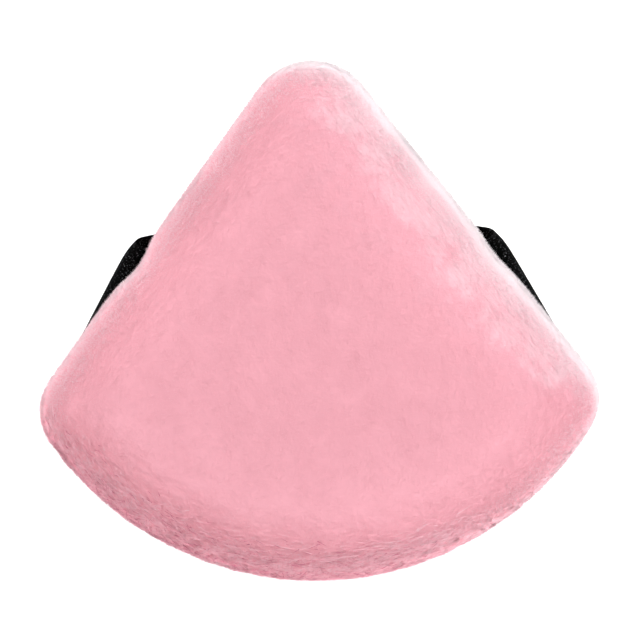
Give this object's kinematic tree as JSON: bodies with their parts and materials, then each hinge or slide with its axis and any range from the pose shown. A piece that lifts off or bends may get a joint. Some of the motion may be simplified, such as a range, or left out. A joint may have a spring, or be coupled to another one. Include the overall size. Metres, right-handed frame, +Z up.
{
  "type": "powder puff",
  "caption": "Fan-shaped velour powder puff with a crowned front, a foam core in two sewn covers and a satin finger strap across the back.",
  "frame": {"origin": "on the flat underside of the strap, below the middle of the outline's width and length", "axes": "+Z up from the strap to the crowned front, +X across the width, +Y towards the point"},
  "size_m": [0.07, 0.065, 0.0186],
  "materials": {
    "front_velour": "matte",
    "back_velour": "matte",
    "foam": "matte",
    "satin_ribbon": "satin",
    "sewing_thread": "matte"
  },
  "bodies": {
    "strap": {"finger_strap": "satin_ribbon"},
    "pad": {"front_cover": "front_velour", "back_cover": "back_velour", "foam_core": "foam", "seam_needle_thread": "sewing_thread", "seam_bobbin_thread": "sewing_thread", "closing_stitches": "sewing_thread", "strap_tack_right": "sewing_thread", "strap_tack_left": "sewing_thread"}
  },
  "joints": [
    {"name": "strap_lift", "type": "slide", "parent": "strap", "child": "pad", "axis": [0, 0, 1], "range_m": [-0.004, 0.008], "deforming": ["finger_strap"]}
  ]
}
